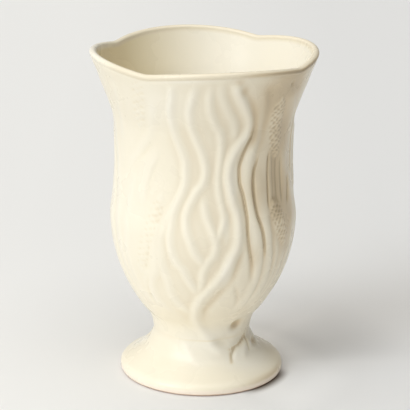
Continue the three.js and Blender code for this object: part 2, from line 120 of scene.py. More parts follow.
RELIEF_REPEAT = 180
MERGE_POWER = 3

# How much narrower than a hump a crest and a swell are
CREST_SHARPNESS = 6
SWELL_SHARPNESS = 2

# Where the grains of an ear begin: the body's share where they are full, the share of
# the ear's half length over which they fade at its ends, and how much farther off a
# place counts that lies past an end
GRAIN_BODY_SHARE = 0.5
GRAIN_END_SHARE = 0.25
PAST_END_WEIGHT = 3

# Painted shade and painted light in the glaze: darker where the share is positive and paler
# where it is negative, standing in for how light falls on the relief, and in part glaze
# pooled in hollows: the share, the angle, the share of the vase's height, and the half
# width in degrees and half height as a share
PAINTED_LIGHT_AND_SHADE_SHARES = [
    [-0.9, 10, 0.13, 60, 0.1],
    [-1.4, 58, 0.072, 44, 0.048],
    [0.8, 58, 0.02, 38, 0.022],
    [-0.6, -25, 0.9, 35, 0.12],
    [-0.4, -60, 0.55, 60, 0.6],
    [1, 48, 0.94, 28, 0.1],
    [0.5, 60, 0.8, 16, 0.1],
    [0.7, 35, 0.62, 9, 0.12],
    [0.4, 28, 0.64, 7, 0.1],
    [-0.6, 19, 0.67, 5, 0.08],
    [-1, -20, 0.978, 40, 0.014],
    [0.5, 35, 0.43, 6, 0.07],
    [-0.6, 15.5, 0.39, 6, 0.08],
    [-0.5, 14.5, 0.53, 3.5, 0.06],
    [0.9, 32, 0.79, 6, 0.055],
    [0.2, -29, 0.56, 5, 0.08],
    [0.35, -38, 0.9, 7, 0.05],
    [0.6, 17.5, 0.968, 4, 0.02],
    [0.6, 20.5, 0.94, 4, 0.025],
    [0.4, 67, 0.58, 11, 0.15],
    [0.4, 62, 0.48, 13, 0.15],
    [0.4, 58, 0.93, 12, 0.045],
    [0.7, 34, 0.87, 14, 0.1],
    [0.4, 72, 0.53, 12, 0.08],
    [0.6, 52, 0.65, 14, 0.13],
    [0.9, 52, 0.555, 8, 0.035],
    [0.5, 60, 0.6, 12, 0.09],
    [1.1, 41, 0.179, 9, 0.026],
    [0.35, 24, 0.13, 12, 0.025],
    [0.8, 78, 0.095, 13, 0.02],
    [0.35, 72, 0.078, 16, 0.014],
    [0.5, 51, 0.585, 6, 0.025],
    [0.75, 55, 0.7, 32, 0.4],
]

# How far the wall has to sink below what is round it for the glaze to gather and darken,
# which is in part painted shade in the hollows, and what is round it: the share, the least
# depth, and the half window in rows and columns
POOL_RISE = 1.3 * MM
POOL_WINDOWS = [(1, -1, 4, 8), (0.4, 0, 10, 24)]

# The glaze on the lip: how much darker it is all round, the painted shade on the outside
# of one dip, which lies at an angle round the lip's section, and the painted light on the
# left dip
LIP_DARKER_SHARE = 0.3
LIP_SHADE_DEPTH = 2.6
LIP_SHADE_ANGLE = 62
LIP_SHADE_SPREAD = 52
LIP_SHADE_MIDDLE = -10
LIP_SHADE_REACH = 60
LIP_LIGHT_DEPTH = 1.3
LIP_LIGHT_ANGLE = -85
LIP_LIGHT_SPREAD = 40

# Painted light inside the bowl, which makes the glaze paler, and the painted warm shade
# towards its back left, where it is darker and warmer
INNER_PAINTED_LIGHT_SHARE = -0.8
INNER_SHADE_SHARE = 1.1
INNER_SHADE_ANGLE = -105
INNER_SHADE_SPREAD = 80

# Faces: how many columns and rows there are, the cuts that split them on the seed ears,
# and the angle in degrees from which an edge is sharp
OUTER_COLUMNS = 576
INNER_COLUMNS = 144
BOWL_ROWS = 126
FOOT_ROWS = 44
INNER_ROWS = 44
LIP_ROWS = 13
CORNER_ROWS = 6
BEVEL_ROWS = 5
HOLLOW_ROWS = 26
SEAM_ROWS = 5
GRAIN_CUTS = 2
SHARP_ANGLE = 58

# Where the rows lie closer, at the bottom of the bowl's outside and the top of the
# foot's, and the height down to which the foot keeps its even wall
START_ROWS = 5
START_SHARE = 0.012
FOOT_LAST_SHARES = [0.97, 0.98, 0.99, 1]
HOLLOW_END_SHARE = 0.1

# Angles in degrees round the sections of the lip, the bowl's inner corner and the
# foot's bevel
LIP_START = -52
LIP_END = 186
CORNER_START = 15
BEVEL_END = 72

# Outline points: the share of the stretch's height, then the share of the way
# from the smaller radius of the stretch to its larger one
FOOT_OUTLINE_SHARES = [
    [0, 0.985], [0.085, 1], [0.17, 0.992], [0.25, 0.92], [0.345, 0.73], [0.425, 0.565],
    [0.615, 0.256], [0.81, 0.1],
]
BOWL_OUTLINE_SHARES = [
    [0, 0], [0.068, 0.025], [0.149, 0.1], [0.243, 0.302], [0.365, 0.518], [0.5, 0.707],
    [0.662, 0.868], [0.838, 0.968],
]
SHOULDER_OUTLINE_SHARES = [[0, 1], [0.286, 0.55], [0.571, 0.24], [0.857, 0.01]]
FLARE_OUTLINE_SHARES = [
    [0, 0], [0.103, 0.004], [0.31, 0.073], [0.517, 0.325], [0.724, 0.649], [1, 1],
]

# Relief lines: the shares of the rise and of the width to the left and to the
# right, then the path as angles and shares of the vase's height
STRAND_SHARES = [
    [1, 1, 1.2, [[-16, 0.985], [-17, 0.925], [-19, 0.87], [-18.5, 0.835], [-17, 0.8], [-13, 0.75],
      [-11, 0.715], [-11, 0.67], [-12.5, 0.64], [-17, 0.59], [-19, 0.55], [-20, 0.5], [-19, 0.46],
      [-16, 0.425], [-12, 0.4], [-9, 0.37], [-6, 0.345], [-3.5, 0.32], [-2.5, 0.295]]],
    [0.75, 1.2, 1.2, [[-13, 0.63], [-18, 0.59], [-23, 0.535], [-26, 0.48], [-26, 0.43],
      [-24.5, 0.385], [-22.5, 0.35], [-22, 0.32], [-20, 0.295], [-16, 0.27], [-11, 0.25],
      [-8, 0.23], [-6.5, 0.21]]],
    [1, 1, 1.2, [[-3.5, 0.98], [-6, 0.92], [-8, 0.87], [-7.5, 0.835], [-6, 0.81], [-4, 0.785],
      [-0.5, 0.745], [1.5, 0.7], [0, 0.665], [-3, 0.645], [-6, 0.62], [-9, 0.59], [-10.5, 0.56],
      [-10, 0.535], [-7, 0.485], [-5, 0.46], [-2.5, 0.44], [0, 0.42], [1.2, 0.395]]],
    [0.8, 1, 1.1, [[4, 0.98], [3, 0.915], [3.5, 0.885], [5, 0.86], [7, 0.835], [10, 0.81],
      [11, 0.775], [10.5, 0.73], [9.5, 0.675], [10, 0.64], [12, 0.59], [13, 0.565], [12.5, 0.54],
      [10, 0.51], [8, 0.485]]],
    [0.8, 1.1, 1.1, [[0.5, 0.64], [1, 0.6], [2.5, 0.565], [4.5, 0.54], [6.5, 0.515], [8.3, 0.48],
      [7, 0.45], [4, 0.43], [2, 0.41], [0.5, 0.39], [0, 0.36], [-1, 0.335], [-1.5, 0.31],
      [-3, 0.29]]],
    [0.6, 1.2, 1.2, [[8, 0.992], [9, 0.935], [11, 0.905], [14, 0.875], [17, 0.85], [19, 0.82],
      [19.5, 0.785], [18, 0.76]]],
    [0.7, 1, 1, [[17, 0.6], [15.5, 0.58], [13.5, 0.56], [12.5, 0.54], [10.5, 0.515], [8.5, 0.49],
      [7.5, 0.46]]],
    [0.4, 1.4, 1.2, [[-28, 0.92], [-29, 0.88], [-31, 0.84], [-34, 0.8], [-40, 0.76], [-45, 0.73],
      [-51, 0.7], [-56, 0.66]]],
    [0.5, 1.4, 1, [[44, 0.9], [45, 0.86], [46, 0.82], [47, 0.77], [48, 0.72]]],
    [0.7, 0.6, 0.6, [[68, 0.66], [71, 0.63], [74, 0.58], [76, 0.54]]],
    [0.7, 1, 1, [[44.5, 0.555], [47, 0.535], [50, 0.515], [54, 0.485], [58, 0.465], [61, 0.455]]],
    [0.6, 1, 1, [[73, 0.55], [71, 0.52], [68, 0.495], [65, 0.475], [61.5, 0.46]]],
    [0.7, 1, 0.8, [[64, 0.66], [67, 0.63], [70, 0.61], [73, 0.58], [76, 0.55], [81, 0.53]]],
    [0.5, 1.3, 1.3, [[49, 0.5], [51, 0.45], [53, 0.4], [53, 0.34], [50, 0.3], [45, 0.26],
      [38, 0.225]]],
    [0.5, 1.3, 1.3, [[58, 0.46], [60, 0.41], [59.5, 0.35], [56, 0.3], [51, 0.26], [44, 0.225]]],
    [0.5, 1.3, 1.3, [[71, 0.52], [71, 0.45], [70, 0.38], [67, 0.33], [61, 0.28], [54, 0.24]]],
    [0.45, 1.3, 1.3, [[-52, 0.96], [-54, 0.91], [-58, 0.85], [-60, 0.79], [-61, 0.74]]],
    [0.45, 1.3, 1.3, [[-66, 0.96], [-68, 0.9], [-72, 0.84], [-73, 0.77], [-70, 0.7],
      [-66, 0.62], [-64, 0.54], [-62, 0.46], [-60, 0.4], [-56, 0.34], [-50, 0.29], [-42, 0.24]]],
    [0.45, 1.2, 1.2, [[-48, 0.68], [-50, 0.62], [-53, 0.56], [-52, 0.5], [-54, 0.44], [-53, 0.38],
      [-49, 0.32], [-43, 0.27], [-35, 0.225]]],
    [0.5, 1.3, 1.3, [[80, 0.6], [83, 0.53], [84, 0.46], [83, 0.39], [79, 0.33], [72, 0.28],
      [64, 0.24]]],
]
BAND_SHARES = [
    [1, 1.25, 1.2, [[16, 1], [17, 0.95], [19, 0.925], [21.7, 0.9], [24.5, 0.875],
      [26.8, 0.85], [28, 0.825], [27.3, 0.805], [24.5, 0.785], [20.8, 0.76], [18, 0.735], [16.2, 0.71],
      [15.7, 0.68], [16.8, 0.645], [18, 0.615], [19.8, 0.59], [21.3, 0.57], [22, 0.54],
      [22, 0.5], [21, 0.47], [18.5, 0.44], [15.5, 0.405], [12.5, 0.38], [8, 0.35], [3.5, 0.325],
      [0, 0.305], [-2.8, 0.28], [-5, 0.255], [-5.6, 0.23], [-4.9, 0.21], [-2.6, 0.19], [2, 0.165],
      [5, 0.14]]],
]
BLADE_SHARES = [
    [0.5, 1.2, 1.2, [[28, 0.955], [33, 0.9], [35, 0.85], [34, 0.8], [31, 0.75], [29, 0.72]]],
    [1, 1, 0.7, [[35, 0.815], [34.5, 0.79], [32, 0.75], [29.5, 0.71],
      [29, 0.675], [29.5, 0.64], [31, 0.59], [33, 0.54], [35.5, 0.49], [37, 0.45], [38, 0.4],
      [38, 0.36], [37, 0.31], [33, 0.26], [27, 0.22]]],
    [1.1, 1, 1.15, [[37, 0.7], [36.8, 0.64], [38, 0.6], [40, 0.56], [42, 0.525], [43.5, 0.49],
      [45, 0.45], [46.5, 0.41], [47, 0.37], [46, 0.33], [42, 0.28], [35, 0.235]]],
    [0.9, 1.1, 1.1, [[62, 0.76], [62.5, 0.7], [62.5, 0.64], [63.5, 0.58]]],
    [0.7, 1.6, 0.6, [[-28, 0.765], [-31, 0.735], [-34.5, 0.7], [-37, 0.67], [-39, 0.64],
      [-39.5, 0.61], [-38.5, 0.57]]],
    [0.7, 2, 0.6, [[53, 0.945], [60, 0.89], [65, 0.85], [70, 0.82], [76, 0.795], [85, 0.77],
      [93, 0.745], [99, 0.705], [103, 0.655], [105, 0.6], [106, 0.54], [108, 0.48], [110, 0.425],
      [113, 0.37], [118, 0.32], [124, 0.275], [131, 0.235]]],
    [0.9, 1.3, 0.9, [[-24, 0.57], [-28.5, 0.53], [-29.5, 0.48], [-29, 0.44], [-30, 0.395],
      [-35, 0.36], [-37, 0.33], [-36.5, 0.3], [-33, 0.26], [-27, 0.225]]],
]
GROOVE_SHARES = [
    [1.1, 0.8, 0.9, [[31, 0.83], [30, 0.795], [27.3, 0.765],
      [24.6, 0.735], [22.7, 0.7], [23, 0.665], [25.2, 0.625], [26.8, 0.585],
      [27.8, 0.55], [27.8, 0.515], [28.3, 0.49], [29.3, 0.465], [31, 0.43], [33, 0.39]]],
    [1.1, 0.8, 0.9, [[37, 0.745], [35, 0.715], [33, 0.685], [32.5, 0.65],
      [33, 0.61], [35, 0.56], [37.5, 0.525], [39.5, 0.485], [40.7, 0.45], [41.3, 0.41]]],
]
SHADE_SHARES = [
    [0.6, 0.8, 1, [[16, 0.98], [19, 0.95], [23, 0.92], [27, 0.885], [30, 0.85], [31, 0.82],
      [30, 0.79], [27, 0.76], [24, 0.73], [22.5, 0.7]]],
    [0.8, 0.8, 1, [[26.5, 0.475], [24, 0.44], [22.5, 0.41], [21, 0.38], [17, 0.345], [11, 0.31],
      [6, 0.28], [3, 0.255], [3, 0.235], [4, 0.215]]],
    [0.9, 0.7, 0.8, [[27.8, 0.515], [28.2, 0.49], [29.3, 0.465], [31, 0.43], [33, 0.39],
      [34.8, 0.355], [36, 0.325]]],
    [0.6, 1, 1.1, [[34.5, 0.975], [36, 0.93], [38.5, 0.88], [39, 0.84], [38.8, 0.79],
      [37, 0.745], [35, 0.715]]],
    [0.7, 0.8, 0.8, [[45, 0.57], [45.5, 0.535], [46.5, 0.5], [48, 0.46], [49.5, 0.425],
      [50.5, 0.38], [49, 0.33]]],
    [0.5, 0.6, 0.6, [[20, 0.375], [22, 0.345], [24.5, 0.325], [26.5, 0.3], [27.5, 0.275],
      [28, 0.25]]],
    [0.35, 0.7, 0.7, [[-25.5, 0.92], [-26, 0.88], [-27, 0.84]]],
    [0.35, 0.6, 0.6, [[-32, 0.79], [-36, 0.755], [-40, 0.735], [-46, 0.71], [-52, 0.68]]],
    [0.7, 0.6, 0.6, [[-33, 0.39], [-38, 0.35], [-40.5, 0.315], [-41, 0.28], [-38, 0.24]]],
    [0.5, 0.6, 0.6, [[-57, 0.6], [-54, 0.55], [-50, 0.51], [-48.5, 0.48]]],
    [1.6, 0.6, 0.5, [[75, 0.85], [75, 0.79], [76, 0.73], [75.5, 0.68], [76, 0.62]]],
    [1.3, 1.7, 1.9, [[51, 0.775], [51, 0.73], [51.5, 0.66], [52, 0.6], [53, 0.54]]],
]
RIB_SHARES = [
    [1.3, 0.9, 0.7, [[46, 0.745], [45.2, 0.7], [45, 0.65], [45, 0.6], [45.2, 0.565]]],
    [0.9, 0.8, 0.8, [[49.5, 0.74], [50, 0.65], [49.5, 0.57]]],
    [1, 0.8, 0.8, [[53.5, 0.735], [53.3, 0.65], [54, 0.57]]],
    [0.9, 0.8, 0.8, [[58, 0.72], [58, 0.65], [59, 0.565]]],
    [1.3, 1, 0.8, [[66, 0.655], [67.5, 0.62], [67, 0.59], [65, 0.555]]],
]
ROOT_SHARES = [
    [0.4, 1, 1, [[-30, 0.15], [-20, 0.125], [-12, 0.1], [-5, 0.08], [0, 0.065]]],
    [0.5, 1.2, 1.2, [[-4, 0.2], [0, 0.175], [6, 0.15], [12, 0.13], [18, 0.112], [23, 0.09]]],
    [0.45, 0.5, 0.7, [[82, 0.795], [84, 0.76], [84.5, 0.7], [83, 0.64], [81, 0.58]]],
    [0.5, 0.7, 0.9, [[63, 0.145], [61, 0.122], [56, 0.105], [50, 0.085], [45, 0.065]]],
    [0.5, 0.7, 0.9, [[61, 0.128], [64, 0.108], [69, 0.092], [77, 0.075], [84, 0.06]]],
]
GOUGE_SHARES = [
    [1, 0.8, 0.9, [[66, 0.145], [62, 0.128], [54, 0.114], [41.5, 0.102], [35, 0.087], [31.5, 0.066]]],
    [0.8, 0.5, 0.5, [[68, 0.15], [63, 0.125], [62.5, 0.106], [61, 0.08]]],
]

# Seed ears: the shares of the rise and of the width, then the upper and the
# lower end as an angle and a share of the vase's height
EAR_SHARES = [
    [1, 1, [46.5, 0.905], [53.5, 0.715]],
    [1, 1, [49, 0.59], [61, 0.445]],
    [0.5, 0.8, [-35, 0.965], [-42, 0.81]],
    [0.38, 0.8, [-26, 0.625], [-43, 0.37]],
]

# Dimples: the share of the depth, the angle, the share of the vase's height,
# and the half width and half height as shares of the waist's radius
DIMPLE_SHARES = [
    [0.7, 41.5, 0.18, 0.24, 0.21],
    [0.28, 23, 0.128, 0.24, 0.2],
    [0.2, 30, 0.14, 0.24, 0.14],
    [0.5, 78, 0.095, 0.34, 0.11],
    [0.3, 53, 0.94, 0.06, 0.06],
]


def mix(low, high, share):
    return low + (high - low) * share


def ease(value):
    """A smooth step from 0 to 1."""
    t = np.clip(value, 0, 1)
    return t * t * (3 - 2 * t)


def hump(value):
    """A soft hump: 1 at zero and 0 from 1 on."""
    return np.clip(1 - value * value, 0, None) ** 2


def crest(value):
    """A narrow crest on wide flanks: 1 at zero and 0 from 1 on."""
    return hump(value) / (1 + CREST_SHARPNESS * value * value)


def swell(value):
    """A crest that is broader than a plain one."""
    return hump(value) / (1 + SWELL_SHARPNESS * value * value)


def through(points, x):
    """Value and slope at x of a smooth curve through points sorted by rising x."""
    px = np.array([p[0] for p in points], float)
    py = np.array([p[1] for p in points], float)
    secant = np.diff(py) / np.diff(px)
    before, after = secant[:-1], secant[1:]
    agree = before * after > 0
    total = np.where(agree, before + after, 1)
    inner = np.where(agree, 2 * before * after / total, 0)
    tangent = np.concatenate([secant[:1], inner, secant[-1:]])
    at = np.clip(x, px[0], px[-1])
    k = np.clip(np.searchsorted(px, at, side="right") - 1, 0, len(px) - 2)
    span = px[k + 1] - px[k]
    t = (at - px[k]) / span
    m0, m1 = tangent[k] * span, tangent[k + 1] * span
    value = ((2 * t**3 - 3 * t**2 + 1) * py[k] + (t**3 - 2 * t**2 + t) * m0
             + (3 * t**2 - 2 * t**3) * py[k + 1] + (t**3 - t**2) * m1)
    slope = ((6 * t**2 - 6 * t) * (py[k] - py[k + 1])
             + (3 * t**2 - 4 * t + 1) * m0 + (3 * t**2 - 2 * t) * m1) / span
    return value, slope


def stretch(shares, start, rise, smaller, larger):
    return [(start + rise * h, mix(smaller, larger, r)) for h, r in shares]


BELLY_HEIGHT = FOOT_RISE + BOWL_RISE
NECK_HEIGHT = BELLY_HEIGHT + SHOULDER_RISE
OUTLINE = [
    *stretch(FOOT_OUTLINE_SHARES, 0, FOOT_RISE, WAIST_RADIUS, FOOT_RADIUS),
    *stretch(BOWL_OUTLINE_SHARES, FOOT_RISE, BOWL_RISE, WAIST_RADIUS, BELLY_RADIUS),
    *stretch(SHOULDER_OUTLINE_SHARES, BELLY_HEIGHT, SHOULDER_RISE, NECK_RADIUS, BELLY_RADIUS),
    *stretch(FLARE_OUTLINE_SHARES, NECK_HEIGHT, FLARE_RISE, NECK_RADIUS, FLARE_RADIUS),
]


def radius_at(z):
    return through(OUTLINE, z)[0]


def lobe(angle):
    """1 on the middle of a lobe of the rim, 0 in a dip."""
    wave = np.sin(np.radians(angle - DIP_ANGLE) * LOBE_COUNT / 2)
    return np.hypot(wave, DIP_ROUNDING_SHARE) / np.hypot(1, DIP_ROUNDING_SHARE)


def rim_top(angle):
    return VASE_HEIGHT - RIM_DIP * (1 - lobe(angle) ** DIP_SHAPE_SHARE)


def lip_base(angle):
    return rim_top(angle) - LIP_HEIGHT


def pinch_at(angle, z):
    near = ease(1 - (VASE_HEIGHT - z) / PINCH_REACH)
    return RIM_PINCH * near * (1 - lobe(angle) ** PINCH_SHAPE_SHARE)


def turn(start, end):
    """The angle from one direction to another, within half a repeat of the relief."""
    half = RELIEF_REPEAT / 2
    return (end - start + half) % RELIEF_REPEAT - half


def apart(start, end):
    """The angle from one direction to another, between a half turn back and one on."""
    return (end - start + 180) % 360 - 180


def line_side(line, fade, angle, z, radius):
    """How far each place lies to the right of a relief line, and how its ends fade."""
    path = [(h * VASE_HEIGHT, a) for a, h in reversed(line[3])]
    low, high = path[0][0], path[-1][0]
    centre, slope = through(path, z)
    lean = np.hypot(1, np.radians(slope) * radius)
    side = np.radians(turn(centre, angle)) * radius / lean
    return side, ease((z - low) / fade) * ease((high - z) / fade)


def line_at(line, rise, width, section, fade, angle, z, radius):
    """The height of one relief line over the wall at each place."""
    rise_share, left_share, right_share, _ = line
    side, ends = line_side(line, fade, angle, z, radius)
    across = side / np.where(side < 0, width * left_share, width * right_share)
    return rise * rise_share * section(across) * ends


def ear_at(ear, angle, z, radius):
    """The height of a seed ear at each place, its body from 0 to 1, and where the place
    lies on it: -1 to 1 from end to end, then how far along and across."""
    rise_share, width_share, upper, lower = ear
    dx = np.radians(turn(lower[0], upper[0])) * radius
    dz = (upper[1] - lower[1]) * VASE_HEIGHT
    length = np.hypot(dx, dz)
    px = np.radians(turn(lower[0], angle)) * radius
    pz = z - lower[1] * VASE_HEIGHT
    along = (px * dx + pz * dz) / length
    across = (px * dz - pz * dx) / length
    middle = 2 * along / length - 1
    wide = EAR_WIDTH * width_share * np.sqrt(np.clip(1 - middle**4, 0, None))
    inside = wide > 0
    body = np.where(inside, hump(across / np.where(inside, wide, 1)), 0)
    return body * EAR_RISE * rise_share, body, middle, along, across


def dimple_at(dimple, angle, z, radius):
    depth_share, at, height_share, wide_share, high_share = dimple
    across = np.radians(turn(at, angle)) * radius / (wide_share * WAIST_RADIUS)
    up = (z - height_share * VASE_HEIGHT) / (high_share * WAIST_RADIUS)
    return DIMPLE_DEPTH * depth_share * hump(np.hypot(across, up))


def merged(values):
    """Lines that meet run into each other: the highest one wins, smoothly."""
    total = 0
    for value in values:
        total = total + value**MERGE_POWER
    return total ** (1 / MERGE_POWER)


# What the lines of a table are like: the rise or depth, the width, the section and the
# length over which they fade at their ends
RIDGES = [
    (STRAND_SHARES, STRAND_RISE, STRAND_WIDTH, swell, END_FADE),
    (BAND_SHARES, BAND_RISE, BAND_WIDTH, swell, END_FADE),
    (BLADE_SHARES, BLADE_RISE, BLADE_WIDTH, hump, END_FADE),
    (ROOT_SHARES, ROOT_RISE, ROOT_WIDTH, swell, ROOT_FADE),
]
HOLLOWS = [
    (GROOVE_SHARES, GROOVE_DEPTH, GROOVE_WIDTH, crest, END_FADE),
    (SHADE_SHARES, SHADE_DEPTH, SHADE_WIDTH, swell, END_FADE),
    (RIB_SHARES, RIB_DEPTH, RIB_WIDTH, crest, ROOT_FADE),
    (GOUGE_SHARES, GOUGE_DEPTH, GOUGE_WIDTH, crest, ROOT_FADE),
]


def relief(angle, z):
    """The relief's height over the plain outline."""
    radius = radius_at(z)
    up = [line_at(line, *size, angle, z, radius) for shares, *size in RIDGES for line in shares]
    up += [ear_at(ear, angle, z, radius)[0] for ear in EAR_SHARES]
    down = [line_at(line, *size, angle, z, radius) for shares, *size in HOLLOWS for line in shares]
    down += [dimple_at(dimple, angle, z, radius) for dimple in DIMPLE_SHARES]
    return (merged(up) - merged(down)) * ease((lip_base(angle) - z) / RELIEF_FADE)


def place(angle, radius, z):
    """Points at an angle round the vase, as rows of x, y and z."""
    a = np.radians(angle)
    return np.stack([radius * np.sin(a), -radius * np.cos(a), z + 0 * a], -1)


def plain_radius(angle, z):
    """The outside's radius without its relief, swelling a little towards the lip."""
    near = ease(1 - (lip_base(angle) - z) / SWELL_REACH)
    return radius_at(z) - pinch_at(angle, z) + LIP_SWELL * near


def outside(angle, z):
    return place(angle, plain_radius(angle, z) + relief(angle, z), z)


def inside_radius(z, wall):
    """The radius of an inner face that keeps its wall square to the outline."""
    value, slope = through(OUTLINE, z)
    return value - wall * np.hypot(1, slope)


def bowl_inside(angle, z):
    """The bowl's inner face, whose wall thins a little under the lip."""
    near = ease(1 - (lip_base(angle) - z) / THINNING_REACH)
    return inside_radius(z, BOWL_WALL) - pinch_at(angle, z) + LIP_THINNING * near


def angles_of(columns):
    return DIP_ANGLE + np.arange(columns) * 360 / columns


OUTER = angles_of(OUTER_COLUMNS)
INNER = angles_of(INNER_COLUMNS)


def blurred(field, rows, columns):
    """The mean of a field of rows and columns over a window that wraps round the vase."""
    wide = sum(np.roll(field, k, axis=1) for k in range(-columns, columns + 1))
    wide = wide / (2 * columns + 1)
    padded = np.pad(wide, ((rows, rows), (0, 0)), mode="edge")
    high = sum(padded[k:k + len(field)] for k in range(2 * rows + 1))
    return high / (2 * rows + 1)


def weave(below, above, below_start, above_start):
    """The faces between two rings, which may have different counts of points."""
    if below == above:
        k = np.arange(below)
        after = (k + 1) % below
        quads = [below_start + k, below_start + after, above_start + after, above_start + k]
        return np.stack(quads, 1).tolist()
    faces = []
    i = j = 0
    while i < below or j < above:
        a, b = below_start + i % below, below_start + (i + 1) % below
        c, d = above_start + (j + 1) % above, above_start + j % above
        if above == 1 or (below > 1 and i < below and (i + 1) / below <= (j + 1) / above):
            faces.append((a, b, d))
            i += 1
            if above == 1 and i == below:
                j = above
        else:
            faces.append((a, c, d))
            j += 1
            if below == 1 and j == above:
                i = below
    return faces


# What each point of a skin knows: how deep the glaze has pooled there, with painted shade
# and painted light laid into the same value, how far it is on a seed ear and in a pit
# between the grains, where it lies beside a cut line and how dark that line is, which is in
# part painted shade, and how much warmer the glaze is there as painted warm shade
DETAILS = ("pool_and_painted_light", "ear", "pit", "line_side", "line", "warm_shade")


def skin(name, rings, closed, details):
    """One closed mesh through rings of points, with what each point knows."""
    starts = np.cumsum([0] + [len(ring) for ring in rings])
    faces = []
    for k in range(len(rings) if closed else len(rings) - 1):
        after = (k + 1) % len(rings)
        faces += weave(len(rings[k]), len(rings[after]), int(starts[k]), int(starts[after]))
    mesh = bpy.data.meshes.new(name)
    mesh.from_pydata(np.concatenate(rings).tolist(), [], faces)
    mesh.polygons.foreach_set("use_smooth", [True] * len(mesh.polygons))
    mesh.set_sharp_from_angle(angle=radians(SHARP_ANGLE))
    known = np.concatenate(details).astype(np.float32)
    for column, detail in enumerate(DETAILS):
        values = mesh.attributes.new(detail, "FLOAT", "POINT")
        values.data.foreach_set("value", np.ascontiguousarray(known[:, column]))
    mesh.update()
    mesh.validate()
    piece = bpy.data.objects.new(name, mesh)
    bpy.context.scene.collection.objects.link(piece)
    return piece


# The dark in the cut lines, which is glaze pooled there and in part painted shade for the
# shade inside the cut: its strength, how far it reaches to each side, the length over
# which it fades at a line's ends, and how far right of the line it lies
DARK_LINES = [
    (GROOVE_SHARES, 0.95, 1.2 * MM, 9 * MM, 0.75 * MM),
    (RIB_SHARES, 0.55, 1.3 * MM, 9 * MM, 0),
    (GOUGE_SHARES, 1.35, 2.8 * MM, 1.5 * MM, -1.3 * MM),
]

# The outer part of its reach, over which it fades to the side
DARK_EDGE_SHARE = 0.5


def dark_lines(angle, z):
    """Where each place lies beside the nearest dark line, and how strong that line is."""
    near = np.ones_like(z)
    strength = np.zeros_like(z)
    for shares, share, reach, fade, lean in DARK_LINES:
        for line in shares:
            side, ends = line_side(line, fade, angle, z, radius_at(z))
            off = (side - lean) / reach
            here = np.abs(off) < np.abs(near)
            near = np.where(here, off, near)
            strength = np.where(here, ends * share * line[0], strength)
    return near, strength * ease((1 - np.abs(near)) / DARK_EDGE_SHARE)


def grains(angle, z):
    """Where the seed ears are, with places along and across them in pitches."""
    nearest = np.full_like(z, np.inf)
    inside, along, across = np.zeros_like(z), np.zeros_like(z), np.zeros_like(z)
    for ear in EAR_SHARES:
        _, body, middle, far, side = ear_at(ear, angle, z, radius_at(z))
        past = np.clip(np.abs(middle) - 1, 0, None)
        away = np.hypot(side / EAR_WIDTH, PAST_END_WEIGHT * past)
        here = away < nearest
        nearest = np.where(here, away, nearest)
        share = ease(body / GRAIN_BODY_SHARE) * ear[0] * ease((1 - np.abs(middle)) / GRAIN_END_SHARE)
        inside = np.where(here, share, inside)
        pitch = GRAIN_PITCH / ear[1]
        along = np.where(here, far / pitch, along)
        across = np.where(here, side / (pitch * GRAIN_SPREAD_SHARE), across)
    return inside, along, across


def pits_at(angle, z, points):
    """How deep the staggered pits between the grains are at each place, from 0 to 1."""
    inside, along, across = grains(angle, z)
    stir = np.array([noise.noise(Vector(point) / GRAIN_STIR_PITCH) for point in points])
    along = along + GRAIN_STIR_SHARE * stir
    across = across + GRAIN_STIR_SHARE * stir
    lattice = np.cos(pi * along) * np.cos(pi * across)
    return inside * ease((lattice + PIT_SPREAD_SHARE) / (1 + PIT_SPREAD_SHARE))


def sink_grains(piece):
    """Splits the faces on the seed ears and sinks the pits between the grains."""
    mesh = piece.data
    made = bmesh.new()
    made.from_mesh(mesh)
    ear = made.verts.layers.float["ear"]
    upright = []
    for edge in made.edges:
        low, high = edge.verts
        if low[ear] > 0 and high[ear] > 0 and abs(low.co.z - high.co.z) > edge.calc_length() / 2:
            upright.append(edge)
    bmesh.ops.subdivide_edges(made, edges=upright, cuts=GRAIN_CUTS)
    made.to_mesh(mesh)
    made.free()
    count = len(mesh.vertices)
    points, ears = np.empty(3 * count), np.empty(count)
    mesh.vertices.foreach_get("co", points)
    mesh.attributes["ear"].data.foreach_get("value", ears)
    points, on = points.reshape(-1, 3), ears > 0
    angle = np.degrees(np.arctan2(points[on, 0], -points[on, 1]))
    z = points[on, 2]
    pits = pits_at(angle, z, points[on])
    points[on] = place(angle, plain_radius(angle, z) + relief(angle, z) - GRAIN_DEPTH * pits, z)
    mesh.vertices.foreach_set("co", points.ravel())
    ears[:] = 0
    ears[on] = pits
    mesh.attributes["pit"].data.foreach_set("value", ears)
    mesh.update()
    return piece


def outer_rings(low, high, shares):
    """The outside between two heights, and what each of its points knows."""
    share, angle = np.meshgrid(shares, OUTER, indexing="ij")
    z = mix(low, high, share)
    height = relief(angle, z)
    points = place(angle, plain_radius(angle, z) + height, z)
    pooled_and_painted = 0
    for part, least, rows, columns in POOL_WINDOWS:
        sunk = (blurred(height, rows, columns) - height) / POOL_RISE
        pooled_and_painted = pooled_and_painted + part * np.clip(sunk, least, 1)
    # Painted shade and painted light, laid into the same value as the pooled glaze
    for part, at, h, wide, tall in PAINTED_LIGHT_AND_SHADE_SHARES:
        pooled_and_painted += part * hump(np.hypot(turn(at, angle) / wide, (z / VASE_HEIGHT - h) / tall))
    ear = grains(angle, z)[0]
    none = np.zeros_like(ear)
    return list(points), list(np.stack([pooled_and_painted, ear, none, *dark_lines(angle, z), none], -1))


def dry(rings):
    """Rings whose points know nothing of the glaze."""
    return [np.zeros((len(ring), len(DETAILS))) for ring in rings]


